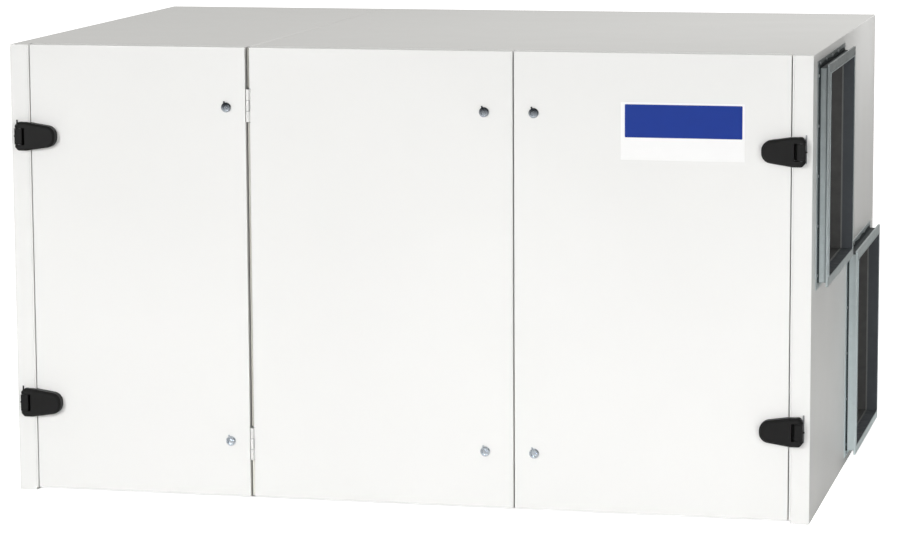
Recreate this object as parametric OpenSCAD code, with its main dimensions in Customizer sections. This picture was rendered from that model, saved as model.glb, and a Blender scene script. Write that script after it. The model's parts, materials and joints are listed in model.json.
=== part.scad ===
// Floor-standing air handling unit: an insulated sheet-metal casing in two modules,
// three hinged access doors across the front and two rectangular duct connections on each end.
// The origin is at the centre of the footprint on the floor, +X to the right, +Y to the back, +Z up.

/* [Casing] */
// Overall width of the casing, without the duct connections
unit_w = 1500; // [1400:10:1800]
// Overall depth of the casing, front face to back face
unit_d = 1000; // [960:10:1200]
// Overall height of the casing
unit_h = 845; // [830:5:1000]
// Thickness of the insulated panels
panel_t = 34; // [28:1:36]
// Width of the joint between the two casing modules
module_gap = 1.5; // [1:0.25:3]
// Width of the cover strip on the roof joint
joint_strip_w = 4; // [3:0.5:10]
// Height of the cover strip above the roof
joint_strip_h = 0.8; // [0.5:0.1:2]

/* [Doors] */
// Distance from the left end of the casing to the joint between the left and middle doors
left_bay_w = 459.5; // [430:0.5:520]
// Distance from the joint between the middle and right doors to the right end of the casing
right_bay_w = 543; // [480:1:600]
// Gap beside a door
door_gap = 5; // [5:0.5:7]
// Gap between the left and middle doors, where the slim hinges sit
hinge_gap = 8; // [7.5:0.5:10]
// Depth of the door's outer rim
rim_d = 22; // [20:1:26]
// Depth of the insulated plug behind the rim
plug_d = 18; // [12:1:22]
// Clearance between the plug and the frame around it
plug_clear = 10; // [10:1:16]
// Clearance between the doors and the floor
floor_clear = 6; // [5:1:10]
// Thickness of the door gasket
gasket_t = 5.5; // [4:0.5:8]
// Width of the door gasket
gasket_w = 12; // [8:1:13]
// Distance from the rim's edge to the gasket
gasket_inset = 5; // [5:0.5:8]
// Clearance between a closed gasket and the frame
seal_clear = 0.5; // [0.5:0.1:1]

/* [Front posts] */
// Width of the post behind two neighbouring doors
post_w = 48; // [46:1:54]
// Width of the post at each end of the front
jamb_w = 30; // [26:1:34]
// Depth of the posts
post_d = 40; // [30:1:46]
// Sheet thickness of the posts
post_sheet = 2; // [1.5:0.25:3]

/* [End hinges] */
// Height of each hinge above or below the middle of the casing
hinge_rise = 252; // [200:1:280]
// Distance from the end of the casing to the hinge pin
pin_inset = 19; // [17:0.5:21]
// Distance from the front face to the hinge pin
pin_proud = 10.5; // [10.5:0.25:13]
// Diameter of the hinge pin
pin_d = 6; // [4:0.25:7]
// Running clearance round a hinge pin
pin_clear = 0.06; // [0.03:0.01:0.1]
// Diameter of the leaf's round end, about the pin
leaf_barrel_d = 16; // [14:0.5:16]
// Reach of the hinge leaf from the pin
leaf_reach = 71; // [62:1:90]
// Full height of the hinge leaf
leaf_h = 53; // [50:1:64]
// Height of the hinge leaf at its outer end
leaf_end_h = 46; // [42:1:50]
// Distance from the leaf's outer end to where its full height starts
leaf_flat_start = 9; // [8:0.5:12]
// Distance from the leaf's outer end to where it starts to taper
leaf_flat_stop = 22; // [18:1:30]
// Height of the hinge leaf at its tip
leaf_tip_h = 41; // [37:1:44]
// Width of the sloping edge round the face of the leaf
leaf_edge = 4; // [1:0.25:5]
// Corner radius at the tip of the leaf
leaf_tip_r = 18; // [10:0.5:18]
// Corner radius at the pin end of the leaf
leaf_root_r = 6; // [5.5:0.5:8]
// Diameter of the fixed knuckle
knuckle_d = 15; // [13:0.5:15]
// Height of the fixed knuckle
knuckle_h = 30; // [24:1:34]
// Radius of the front edges of the fixed knuckle
knuckle_edge = 2; // [1:0.25:3]
// Width of the slot between the leaf and the fixed knuckle
leaf_slot = 5; // [4:0.25:6]
// Size of the small stop on the outer side of the fixed knuckle
stop_d = 3; // [2:0.25:4]
// Thickness of the foot of the fixed knuckle
foot_t = 3; // [2:0.25:3.5]
// Thickness of the steel plate under the fixed knuckle
plate_t = 1.5; // [1:0.25:1.5]
// Height of the steel plate
plate_h = 42; // [36:1:44]
// Width of the lug at the plate's top outer corner
lug_w = 2.5; // [2:0.25:4]
// Height of the lug above the leaf
lug_rise = 3; // [2:0.5:6]
// Clearance between the parts of a hinge
hinge_clear = 1; // [0.5:0.25:1.25]

/* [Slim hinges] */
// Height of each slim hinge above or below the middle of the casing
slim_rise = 316; // [260:1:330]
// Length of the slim hinge
slim_l = 60; // [54:1:80]
// Diameter of the slim hinge's knuckles
slim_d = 6; // [5:0.25:6]
// Shift of the slim hinge's pin from the middle of its gap, towards the middle door
slim_shift = 1; // [1:0.25:1.5]
// Distance from the front face to the slim hinge's pin
slim_proud = 2; // [1.5:0.25:2.5]
// Diameter of the slim hinge's pin
slim_pin_d = 3; // [2.5:0.25:3.5]
// Sheet thickness of the slim hinge
slim_sheet = 2; // [1.5:0.25:2.5]
// Width of the foot of the slim hinge on the post
slim_foot_w = 12; // [8:0.5:13]

/* [Locks] */
// Height of each lock above or below the middle of the casing
lock_rise = 312; // [250:1:340]
// Distance from a door's free edge to its lock, on the end doors
lock_inset = 36.5; // [34:0.5:44]
// Distance from a door's free edge to its lock, on the middle door
middle_lock_inset = 50; // [36:0.5:60]
// Diameter of the lock's front ring
lock_d = 18; // [16:0.5:24]
// Height of the lock's front ring
lock_h = 4.5; // [3:0.25:7]
// Width of the sloping edge of the front ring
lock_edge = 1.5; // [0.5:0.25:2.5]
// Diameter of the key recess
key_d = 12; // [9:0.5:13]
// Depth of the key recess
key_depth = 3.5; // [2:0.25:5]
// Radius of the three-sided key post, to its corners
key_post_r = 4.6; // [3:0.1:5.5]
// Width of the pointer on the front ring
pointer_w = 2.6; // [2:0.1:4]
// Height of the pointer
pointer_h = 2.25; // [1.5:0.25:2.5]
// Reach of the pointer beyond the front ring
pointer_reach = 3; // [2:0.25:5]
// Turn of the pointer from the right, seen from the front
pointer_turn = 112; // [0:1:180]
// Diameter of the barrel through the door
barrel_d = 14; // [10:0.5:16]
// Width of the lock's nut across its corners
nut_d = 20; // [18:0.5:22]
// Thickness of the lock's nut
nut_t = 4; // [3:0.25:5]
// Clearance round the barrel and the nut
lock_clear = 0.2; // [0.1:0.05:0.5]

/* [Duct connections] */
// Clear width and height of the duct opening
duct_w = 366; // [300:2:368]
// Distance from the top or the floor to the nearer duct flange
duct_edge = 21; // [18:0.5:40]
// Distance from the front or the back to the nearer duct flange
duct_side = 61; // [58:1:90]
// Width of the duct flange
flange_lip = 17; // [15:1:24]
// Depth of the hem on the flange's edge
flange_hem = 4; // [2:0.5:8]
// Distance from the duct opening to the outside of the frame's web
frame_web = 10; // [9:0.5:12]
// Width of the lip that is fixed to the panel
base_lip = 13; // [8:1:16]
// Distance from the panel to the face of the flange
frame_d = 21.5; // [18:0.5:40]
// Sheet thickness of the frame
frame_sheet = 1.5; // [1:0.25:2]
// Diameter of the bolt holes in the flange's corners
flange_hole_d = 6; // [4:0.5:6]
// Wall thickness of the sleeve through the panel
sleeve_t = 2; // [1:0.25:4]

/* [Hidden] */
$fn = 64;
fine = 32;
through = 1;
front = -unit_d / 2;
back = unit_d / 2;
end = unit_w / 2;
mid_h = unit_h / 2;
joint_left = -end + left_bay_w;
joint_right = end - right_bay_w;
rim_back = front + rim_d;
seal_plane = rim_back + gasket_t + seal_clear;
plug_back = rim_back + plug_d;
bay_inner = end - panel_t;
pin_x = end - pin_inset;
pin_y = front - pin_proud;
leaf_t = pin_proud + leaf_barrel_d / 2;
leaf_relief = plate_t + foot_t + hinge_clear;
slim_x = joint_left + slim_shift;
slim_y = front - slim_proud;
slim_leaf_x = slim_x + slim_d / 2;
slim_knuckle_h = (slim_l - 2 * hinge_clear) / 3;
slim_recess = slim_leaf_x + slim_sheet - (joint_left + hinge_gap / 2);
sleeve_w = duct_w + 2 * sleeve_t;
frame_w = duct_w + 2 * frame_sheet;
web_w = duct_w + 2 * frame_web;
flange_w = duct_w + 2 * flange_lip;
hole_pitch = duct_w + frame_web;
duct_along = unit_d / 2 - duct_side - flange_w / 2;
duct_rise = mid_h - duct_edge - flange_w / 2;

// Edges of each door, left then right, and the frame edges that its plug fits between
left_door_x = [-bay_inner + door_gap, joint_left - hinge_gap / 2];
middle_door_x = [joint_left + hinge_gap / 2, joint_right - door_gap / 2];
right_door_x = [joint_right + door_gap / 2, bay_inner - door_gap];
left_frame_x = [-bay_inner + jamb_w, joint_left - post_w / 2];
middle_frame_x = [joint_left + post_w / 2, joint_right - post_w / 2];
right_frame_x = [joint_right + post_w / 2, bay_inner - jamb_w];
left_lock_x = left_door_x[1] - lock_inset;
middle_lock_x = middle_door_x[1] - middle_lock_inset;
right_lock_x = right_door_x[0] + lock_inset;

paint = [0.93, 0.93, 0.92];
zinc = [0.62, 0.66, 0.67];
black = [0.12, 0.12, 0.12];
steel = [0.75, 0.77, 0.8];

// A block between two opposite corners
module block(low, high) {
    translate(low) cube(high - low);
}

// Casing

// Places its children at the two duct openings of an end panel, flow along X
module at_duct(along, rise) {
    translate([0, along, mid_h + rise]) children();
}

// An end panel with its two duct openings, one high and one low
module side_panel(x_low, x_high, upper_along) {
    color(paint) difference() {
        block([x_low, front, 0], [x_high, back, unit_h]);
        for (s = [1, -1])
            at_duct(s * upper_along, s * duct_rise)
                block([x_low - through, -sleeve_w / 2, -sleeve_w / 2],
                      [x_high + through, sleeve_w / 2, sleeve_w / 2]);
    }
}

module left_side_panel() { side_panel(-end, -bay_inner, duct_along); }
module right_side_panel() { side_panel(bay_inner, end, -duct_along); }

// A roof, floor or back panel of one module, between the end panels
module deck(left, right, z_low) {
    color(paint) block([left, seal_plane, z_low], [right, back, z_low + panel_t]);
}

module rear(left, right) {
    color(paint) block([left, back - panel_t, panel_t], [right, back, unit_h - panel_t]);
}

left_module_x = [-bay_inner, joint_left - module_gap / 2];
right_module_x = [joint_left + module_gap / 2, bay_inner];

module roof_panel_left() { deck(left_module_x[0], left_module_x[1], unit_h - panel_t); }
module roof_panel_right() { deck(right_module_x[0], right_module_x[1], unit_h - panel_t); }
module floor_panel_left() { deck(left_module_x[0], left_module_x[1], 0); }
module floor_panel_right() { deck(right_module_x[0], right_module_x[1], 0); }
module back_panel_left() { rear(left_module_x[0], left_module_x[1]); }
module back_panel_right() { rear(right_module_x[0], right_module_x[1]); }

// A low strip that covers the joint of the two roof panels
module roof_joint_strip() {
    color(paint)
        block([joint_left - joint_strip_w / 2, seal_plane, unit_h],
              [joint_left + joint_strip_w / 2, back, unit_h + joint_strip_h]);
}

// Front posts

// A folded post, open to the back, between the floor and roof panels
module folded_post(left, right) {
    color(zinc) difference() {
        block([left, seal_plane, panel_t], [right, seal_plane + post_d, unit_h - panel_t]);
        block([left + post_sheet, seal_plane + post_sheet, panel_t - through],
              [right - post_sheet, seal_plane + post_d + through, unit_h - panel_t + through]);
    }
}

module left_jamb() { folded_post(-bay_inner, left_frame_x[0]); }
module left_post() { folded_post(left_frame_x[1], middle_frame_x[0]); }
module right_post() { folded_post(middle_frame_x[1], right_frame_x[0]); }
module right_jamb() { folded_post(right_frame_x[1], bay_inner); }

// Duct connections

// A square tube along X, from x_low to x_high
module square_tube(x_low, x_high, outer, inner) {
    difference() {
        block([x_low, -outer / 2, -outer / 2], [x_high, outer / 2, outer / 2]);
        block([x_low - through, -inner / 2, -inner / 2], [x_high + through, inner / 2, inner / 2]);
    }
}

// A folded frame round a duct opening on the right end: lip, web, flange with a hem, and inner wall
module duct_frame(along, rise) {
    face = end + frame_d;
    web_inner = web_w - 2 * frame_sheet;
    color(zinc) at_duct(along, rise) difference() {
        union() {
            square_tube(end, end + frame_sheet, web_w + 2 * base_lip, web_inner);
            square_tube(end, face, web_w, web_inner);
            square_tube(end, face, frame_w, duct_w);
            square_tube(face - frame_sheet, face, flange_w, duct_w);
            square_tube(face - flange_hem, face, flange_w, flange_w - 2 * frame_sheet);
        }
        for (y = [-1, 1], z = [-1, 1])
            translate([face - frame_sheet - through, y * hole_pitch / 2, z * hole_pitch / 2])
                rotate([0, 90, 0]) cylinder(d = flange_hole_d, h = frame_sheet + 2 * through);
    }
}

module right_upper_duct_frame() { duct_frame(-duct_along, duct_rise); }
module right_lower_duct_frame() { duct_frame(duct_along, -duct_rise); }
module left_upper_duct_frame() { mirror([1, 0, 0]) duct_frame(duct_along, duct_rise); }
module left_lower_duct_frame() { mirror([1, 0, 0]) duct_frame(-duct_along, -duct_rise); }

// The sleeves that line the two openings of an end panel
module duct_sleeves(upper_along) {
    color(zinc) for (s = [1, -1])
        at_duct(s * upper_along, s * duct_rise) square_tube(bay_inner, end, sleeve_w, duct_w);
}

module right_duct_sleeves() { duct_sleeves(-duct_along); }
module left_duct_sleeves() { mirror([1, 0, 0]) duct_sleeves(duct_along); }

// Doors

// Places its children at a lock or hinge height above and below the middle of the casing
module at_rises(rise) {
    for (s = [1, -1]) translate([0, 0, mid_h + s * rise]) children();
}

// A door: an outer rim, an insulated plug that enters the frame, and a bored pocket for each lock
module door(edges, frame, lock_x) {
    pocket = nut_d / 2 + lock_edge + lock_clear;
    free_edge = lock_x > (edges[0] + edges[1]) / 2 ? frame[1] : frame[0];
    color(paint) difference() {
        union() {
            block([edges[0], front, floor_clear], [edges[1], rim_back, unit_h]);
            block([frame[0] + plug_clear, rim_back - through, panel_t + plug_clear],
                  [frame[1] - plug_clear, plug_back, unit_h - panel_t - plug_clear]);
        }
        at_rises(lock_rise) {
            translate([lock_x, front - through, 0])
                rotate([-90, 0, 0]) cylinder(d = barrel_d + 2 * lock_clear, h = rim_d + 2 * through);
            block([min(lock_x - pocket, free_edge), rim_back, -pocket],
                  [max(lock_x + pocket, free_edge), plug_back + through, pocket]);
        }
    }
}

module left_door() { door(left_door_x, left_frame_x, left_lock_x); }

// The middle door, with a recess in its edge for each slim hinge
module middle_door() {
    half = slim_l / 2 + hinge_clear;
    color(paint) difference() {
        door(middle_door_x, middle_frame_x, middle_lock_x);
        at_rises(slim_rise)
            block([middle_door_x[0] - through, front - through, -half],
                  [middle_door_x[0] + slim_recess, rim_back + through, half]);
    }
}

module right_door() { door(right_door_x, right_frame_x, right_lock_x); }

// The sealing ring on the back of a door's rim
module gasket(edges) {
    outer = [gasket_inset, gasket_inset];
    inner = outer + [gasket_w, gasket_w];
    color(black) difference() {
        block([edges[0] + outer[0], rim_back, floor_clear + outer[1]],
              [edges[1] - outer[0], rim_back + gasket_t, unit_h - outer[1]]);
        block([edges[0] + inner[0], rim_back - through, floor_clear + inner[1]],
              [edges[1] - inner[0], rim_back + gasket_t + through, unit_h - inner[1]]);
    }
}

module left_door_gasket() { gasket(left_door_x); }
module middle_door_gasket() { gasket(middle_door_x); }
module right_door_gasket() { gasket(right_door_x); }

// Locks

// One key lock: a ring with a three-sided key post, a barrel through the rim and a nut behind it
module lock() {
    ring = lock_h - lock_edge;
    rotate([90, 0, 0]) {
        difference() {
            union() {
                cylinder(d = lock_d, h = ring);
                translate([0, 0, ring]) cylinder(d1 = lock_d, d2 = lock_d - 2 * lock_edge, h = lock_edge);
            }
            translate([0, 0, lock_h - key_depth]) cylinder(d = key_d, h = key_depth + through);
        }
        cylinder(r = key_post_r, h = lock_h - lock_edge / 2, $fn = 3);
        rotate([0, 0, pointer_turn])
            block([(key_d + lock_d) / 4, -pointer_w / 2, 0], [lock_d / 2 + pointer_reach, pointer_w / 2, pointer_h]);
        translate([0, 0, -rim_d - nut_t]) cylinder(d = barrel_d, h = rim_d + nut_t + through);
        translate([0, 0, -rim_d - nut_t]) cylinder(d = nut_d, h = nut_t, $fn = 6);
    }
}

module door_locks(x) {
    color(steel) at_rises(lock_rise) translate([x, front, 0]) lock();
}

module left_door_locks() { door_locks(left_lock_x); }
module middle_door_locks() { door_locks(middle_lock_x); }
module right_door_locks() { door_locks(right_lock_x); }

// End hinges, drawn for the left end with the pin on the Z axis and the door towards +X

// The outline of the leaf, drawn in by inset: cut corners at the pin, a straight stretch and a tapered tip
module leaf_outline(inset) {
    outer = -leaf_barrel_d / 2;
    corners = [
        [outer + leaf_root_r, leaf_end_h / 2 - leaf_root_r, leaf_root_r],
        [outer + leaf_flat_start, leaf_h / 2 - leaf_root_r, leaf_root_r],
        [outer + leaf_flat_stop, leaf_h / 2 - leaf_root_r, leaf_root_r],
        [leaf_reach - leaf_tip_r, leaf_tip_h / 2 - leaf_tip_r, leaf_tip_r]
    ];
    hull() for (s = [1, -1], corner = corners)
        translate([corner[0], s * corner[1]]) circle(r = corner[2] - inset, $fn = fine);
}

// The leaf's moulding with a sloping edge round its face, lying against the front of the door
module leaf_moulding() {
    translate([0, pin_proud, 0]) rotate([90, 0, 0]) hull() {
        linear_extrude(leaf_t - leaf_edge) leaf_outline(0);
        linear_extrude(leaf_t) leaf_outline(leaf_edge);
    }
}

// The leaf: the moulding lifted clear of the end panel, a round end about the pin and a slot for the knuckle
module leaf() {
    gap_h = knuckle_h / 2 + hinge_clear;
    door_edge = panel_t + door_gap - pin_inset;
    difference() {
        union() {
            difference() {
                intersection() {
                    leaf_moulding();
                    block([0, -leaf_t, -leaf_h], [leaf_reach + through, leaf_t, leaf_h]);
                }
                block([-through, pin_proud - leaf_relief, -leaf_h], [door_edge, pin_proud + through, leaf_h]);
            }
            intersection() {
                leaf_moulding();
                translate([0, 0, -leaf_h / 2]) cylinder(d = leaf_barrel_d, h = leaf_h);
            }
        }
        block([-leaf_barrel_d, -leaf_t, -gap_h], [knuckle_d / 2 + leaf_slot, pin_proud + through, gap_h]);
        translate([0, 0, -leaf_h]) cylinder(d = pin_d + 2 * pin_clear, h = 2 * leaf_h);
    }
}

// The fixed knuckle, round behind and flat in front, level with the face of the leaf
module knuckle() {
    side = knuckle_d / 2 - knuckle_edge;
    translate([0, 0, -knuckle_h / 2]) hull() {
        cylinder(d = knuckle_d, h = knuckle_h);
        for (s = [1, -1])
            translate([s * side, -side, 0]) cylinder(r = knuckle_edge, h = knuckle_h, $fn = fine);
    }
}

// The fixed knuckle with its foot on the steel plate and a small stop on its outer side
module hinge_base() {
    foot_back = pin_proud - plate_t;
    foot_reach = panel_t - pin_inset - hinge_clear;
    difference() {
        union() {
            block([-knuckle_d / 4, foot_back - foot_t, -knuckle_h / 2], [foot_reach, foot_back, knuckle_h / 2]);
            knuckle();
            translate([-knuckle_d / 2 - stop_d / 3, 0, 0]) rotate([0, 90, 0]) cylinder(d = stop_d, h = stop_d);
        }
        translate([0, 0, -knuckle_h]) cylinder(d = pin_d + 2 * pin_clear, h = 2 * knuckle_h);
    }
}

// The steel plate on the end panel, with the lug that stands above the leaf
module hinge_plate() {
    outer = -knuckle_d / 2;
    back = pin_proud;
    block([outer, back - plate_t, -plate_h / 2], [panel_t - pin_inset - hinge_clear, back, plate_h / 2]);
    block([outer - lug_w / 2, back - plate_t, -plate_h / 2], [outer + lug_w / 2, back, leaf_h / 2 + lug_rise]);
}

module hinge_pin() {
    pin_l = leaf_h - leaf_edge;
    translate([0, 0, -pin_l / 2]) cylinder(d = pin_d, h = pin_l);
}

// Places its children at one of the two hinge heights on the left end
module at_left_hinge(s) {
    translate([-pin_x, pin_y, mid_h + s * hinge_rise]) children();
}

module at_right_hinge(s) {
    mirror([1, 0, 0]) at_left_hinge(s) children();
}

module left_upper_hinge_leaf() { color(black) at_left_hinge(1) leaf(); }
module left_lower_hinge_leaf() { color(black) at_left_hinge(-1) leaf(); }
module right_upper_hinge_leaf() { color(black) at_right_hinge(1) leaf(); }
module right_lower_hinge_leaf() { color(black) at_right_hinge(-1) leaf(); }
module left_upper_hinge_base() { color(black) at_left_hinge(1) hinge_base(); }
module left_lower_hinge_base() { color(black) at_left_hinge(-1) hinge_base(); }
module right_upper_hinge_base() { color(black) at_right_hinge(1) hinge_base(); }
module right_lower_hinge_base() { color(black) at_right_hinge(-1) hinge_base(); }
module left_hinge_pins() { color(steel) for (s = [1, -1]) at_left_hinge(s) hinge_pin(); }
module right_hinge_pins() { color(steel) for (s = [1, -1]) at_right_hinge(s) hinge_pin(); }
module left_hinge_plates() { color(steel) for (s = [1, -1]) at_left_hinge(s) hinge_plate(); }
module right_hinge_plates() { color(steel) for (s = [1, -1]) at_right_hinge(s) hinge_plate(); }

// Slim hinges in the gap between the left and middle doors, pin on the Z axis

// One knuckle of a slim hinge, from z_low, with the plate that carries it
module slim_knuckle(z_low, plate_low, plate_high) {
    difference() {
        union() {
            translate([0, 0, z_low]) cylinder(d = slim_d, h = slim_knuckle_h);
            block([plate_low[0], plate_low[1], z_low], [plate_high[0], plate_high[1], z_low + slim_knuckle_h]);
        }
        translate([0, 0, z_low - through])
            cylinder(d = slim_pin_d + 2 * pin_clear, h = slim_knuckle_h + 2 * through);
    }
}

// The middle knuckle, on a plate that stands on the post
module slim_fixed() {
    post_face = seal_plane - slim_y;
    slim_knuckle(-slim_knuckle_h / 2, [-slim_sheet / 2, 0], [slim_sheet / 2, post_face]);
    block([-slim_foot_w / 2, post_face - slim_sheet, -slim_knuckle_h / 2],
          [slim_foot_w / 2, post_face, slim_knuckle_h / 2]);
}

// The outer knuckles, joined by the leaf on the edge of the middle door
module slim_leaf() {
    leaf_x = slim_leaf_x - slim_x;
    for (z_low = [-slim_l / 2, slim_l / 2 - slim_knuckle_h])
        slim_knuckle(z_low, [0, slim_pin_d / 2 + slim_sheet / 2], [leaf_x + slim_sheet, slim_d / 2 + slim_sheet]);
    block([leaf_x, slim_d / 2, -slim_l / 2], [leaf_x + slim_sheet, rim_back - slim_y, slim_l / 2]);
}

module slim_pin() {
    translate([0, 0, -slim_l / 2]) cylinder(d = slim_pin_d, h = slim_l);
}

module at_slim_hinge(s) {
    translate([slim_x, slim_y, mid_h + s * slim_rise]) children();
}

module upper_slim_hinge_fixed() { color(paint) at_slim_hinge(1) slim_fixed(); }
module lower_slim_hinge_fixed() { color(paint) at_slim_hinge(-1) slim_fixed(); }
module upper_slim_hinge_leaf() { color(paint) at_slim_hinge(1) slim_leaf(); }
module lower_slim_hinge_leaf() { color(paint) at_slim_hinge(-1) slim_leaf(); }
module slim_hinge_pins() { color(steel) for (s = [1, -1]) at_slim_hinge(s) slim_pin(); }

left_side_panel();
right_side_panel();
roof_panel_left();
roof_panel_right();
floor_panel_left();
floor_panel_right();
back_panel_left();
back_panel_right();
roof_joint_strip();
left_jamb();
left_post();
right_post();
right_jamb();
right_upper_duct_frame();
right_lower_duct_frame();
left_upper_duct_frame();
left_lower_duct_frame();
right_duct_sleeves();
left_duct_sleeves();
left_door();
middle_door();
right_door();
left_door_gasket();
middle_door_gasket();
right_door_gasket();
left_door_locks();
middle_door_locks();
right_door_locks();
left_upper_hinge_leaf();
left_lower_hinge_leaf();
right_upper_hinge_leaf();
right_lower_hinge_leaf();
left_upper_hinge_base();
left_lower_hinge_base();
right_upper_hinge_base();
right_lower_hinge_base();
left_hinge_pins();
right_hinge_pins();
left_hinge_plates();
right_hinge_plates();
upper_slim_hinge_fixed();
lower_slim_hinge_fixed();
upper_slim_hinge_leaf();
lower_slim_hinge_leaf();
slim_hinge_pins();
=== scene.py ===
"""Dresses the air handling unit: finishes, some with painted light and shade, strips, dark strips of
painted shade round the duct frames, label, hinge stops, rivets and a plain studio.
"""

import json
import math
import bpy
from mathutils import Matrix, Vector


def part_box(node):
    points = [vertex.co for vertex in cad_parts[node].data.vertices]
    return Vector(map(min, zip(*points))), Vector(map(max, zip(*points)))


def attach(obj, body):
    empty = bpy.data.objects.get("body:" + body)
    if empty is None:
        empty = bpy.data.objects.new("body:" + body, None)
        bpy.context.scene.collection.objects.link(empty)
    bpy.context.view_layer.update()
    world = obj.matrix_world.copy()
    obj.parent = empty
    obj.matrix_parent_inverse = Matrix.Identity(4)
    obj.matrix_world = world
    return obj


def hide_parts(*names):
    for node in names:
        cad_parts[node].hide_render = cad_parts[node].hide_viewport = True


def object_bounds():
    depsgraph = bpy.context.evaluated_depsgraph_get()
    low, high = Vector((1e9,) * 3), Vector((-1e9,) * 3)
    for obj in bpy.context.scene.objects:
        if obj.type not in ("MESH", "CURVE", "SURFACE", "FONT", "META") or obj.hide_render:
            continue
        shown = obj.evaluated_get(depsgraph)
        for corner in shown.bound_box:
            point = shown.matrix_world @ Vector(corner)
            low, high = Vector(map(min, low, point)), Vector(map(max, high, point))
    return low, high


bl_info = {
    "name": "Air Handling Unit",
    "version": (1, 0, 0),
    "blender": (4, 5, 0),
    "location": "View3D > Sidebar > Air Unit",
    "description": "Finishes, trim and studio for a floor-standing air handling unit",
    "category": "Object",
}

import bmesh
import bpy
from mathutils import Matrix, Vector

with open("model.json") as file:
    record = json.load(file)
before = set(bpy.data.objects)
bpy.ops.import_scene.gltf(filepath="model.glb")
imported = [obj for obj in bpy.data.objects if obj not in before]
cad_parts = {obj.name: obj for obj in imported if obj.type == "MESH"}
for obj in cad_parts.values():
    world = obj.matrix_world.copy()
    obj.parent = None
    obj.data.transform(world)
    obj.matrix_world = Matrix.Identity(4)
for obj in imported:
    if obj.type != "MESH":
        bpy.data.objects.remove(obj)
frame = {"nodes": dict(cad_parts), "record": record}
NODES = frame["nodes"]
CAD_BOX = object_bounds()
MM = 0.001

# Places read from the frame

MIDDLE_DOOR_LOW, MIDDLE_DOOR_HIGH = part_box("middle_door")
RIGHT_DOOR_LOW, RIGHT_DOOR_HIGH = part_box("right_door")
RIGHT_PANEL_LOW, RIGHT_PANEL_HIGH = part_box("right_side_panel")
UPPER_FRAME_LOW, UPPER_FRAME_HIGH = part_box("right_upper_duct_frame")
ROOF_LOW, ROOF_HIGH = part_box("roof_panel_right")
FLOOR_LOW, FLOOR_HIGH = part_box("floor_panel_right")
UPPER_SLIM_LOW, UPPER_SLIM_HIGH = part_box("upper_slim_hinge_leaf")
LOWER_SLIM_LOW, LOWER_SLIM_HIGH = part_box("lower_slim_hinge_leaf")
PINS_LOW, PINS_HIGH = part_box("right_hinge_pins")
SLEEVES_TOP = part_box("right_duct_sleeves")[1].z
LOCKS_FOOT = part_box("right_door_locks")[0].z
BACK_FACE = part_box("back_panel_right")[0].y
SEAL_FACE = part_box("right_door_gasket")[0].y
POST_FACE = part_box("left_post")[0].y
UNIT_MIDDLE = (RIGHT_PANEL_LOW.z + RIGHT_PANEL_HIGH.z) / 2
PIN_ALONG = (PINS_LOW.y + PINS_HIGH.y) / 2
DUCT_ALONG = abs(UPPER_FRAME_LOW.y + UPPER_FRAME_HIGH.y) / 2
DUCT_RISE = (UPPER_FRAME_LOW.z + UPPER_FRAME_HIGH.z) / 2 - UNIT_MIDDLE
DUCT_FRAMES = [name for name in NODES if name.endswith("_duct_frame")]
HINGE_BASES = [name for name in NODES if name.endswith("_hinge_base")]
SLOT_OF_NODE = {row["node"]: row["material_slot"] for row in frame["record"]["subparts"]}

# Sizes of solids that no box in the frame tells

SLEEVE_WALL = 2 * MM
LOCK_RADIUS = 9 * MM
LOCK_HEIGHTS = (LOCKS_FOOT + LOCK_RADIUS, 2 * UNIT_MIDDLE - LOCKS_FOOT - LOCK_RADIUS)
OPENING_HALF = SLEEVES_TOP - UNIT_MIDDLE - DUCT_RISE - SLEEVE_WALL

# Margin of the boxes that part painted faces from bare ones, and a distance beyond the unit's sides

FACE_OFFSET = 0.5 * MM
BEYOND = 2.0

# Patterns of the finishes: scales per metre, depths, and the roughness of the powder coat

COAT_SCALES = {"Tone Scale": 2.2, "Peel Scale": 420.0}
COAT_DEPTH = 0.06 * MM
COAT_ROUGHNESS = (0.2, 0.25)
SHEET_SCALES = {"Spangle Scale": 95.0, "Streak Scale": 40.0}
SHEET_DEPTH = 0.05 * MM
MOULD_SCALES = {"Grain Scale": 1400.0, "Tone Scale": 60.0}
PLATING_GRAIN = 700.0
PLATING_DEPTH = 0.03 * MM

# Limits for merging, choosing and smoothing faces and edges

MERGE_DISTANCE = 0.005 * MM
PLANE_DISTANCE = 0.01 * MM
FLAT_ANGLE = math.radians(0.5)
BEND_ANGLE = math.radians(30)
SMOOTH_ANGLE = math.radians(40)
FOLD_ANGLE = math.radians(60)
FOLD_LENGTH = 10 * MM
ALIGNED = 0.9
ROUND_STEPS = 16

# Lights: place and target, width and height, spread in degrees, and whether reflections show them

LIGHTS = {
    "key": ((-3.8, -9.6, 2.8), (0.0, -0.5, 0.4), (1.8, 1.4), 180, True),
    "fill": ((3.4, -5.8, 1.2), (0.3, -0.5, 0.4), (1.4, 1.2), 180, True),
    "near": ((0.0, -4.5, 1.7), (0.0, -0.5, -0.1), (3.5, 0.4), 34, True),
    "top": ((0.9, 0.6, 3.2), (0.7, 0.2, 0.85), (1.0, 1.0), 60, False),
    "back": ((1.02, 0.36, 0.86), (0.75, 0.34, 0.85), (0.4, 0.2), 160, False),
}
SENSOR_WIDTH = 36.0


# Settings that a user would change


def length_setting(name, description, default):
    """A length that a user can change"""
    return bpy.props.FloatProperty(
        name=name, description=description, default=default, unit="LENGTH", precision=4)


def colour_setting(name, description, default):
    """A colour that a user can change"""
    return bpy.props.FloatVectorProperty(
        name=name, description=description, default=default, size=3, subtype="COLOR")


def power_setting(name, description, default):
    """A light's power that a user can change"""
    return bpy.props.FloatProperty(name=name, description=description, default=default, unit="POWER")


def angle_setting(name, description, degrees):
    """An angle that a user can change"""
    return bpy.props.FloatProperty(
        name=name, description=description, default=math.radians(degrees), subtype="ANGLE")


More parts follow.
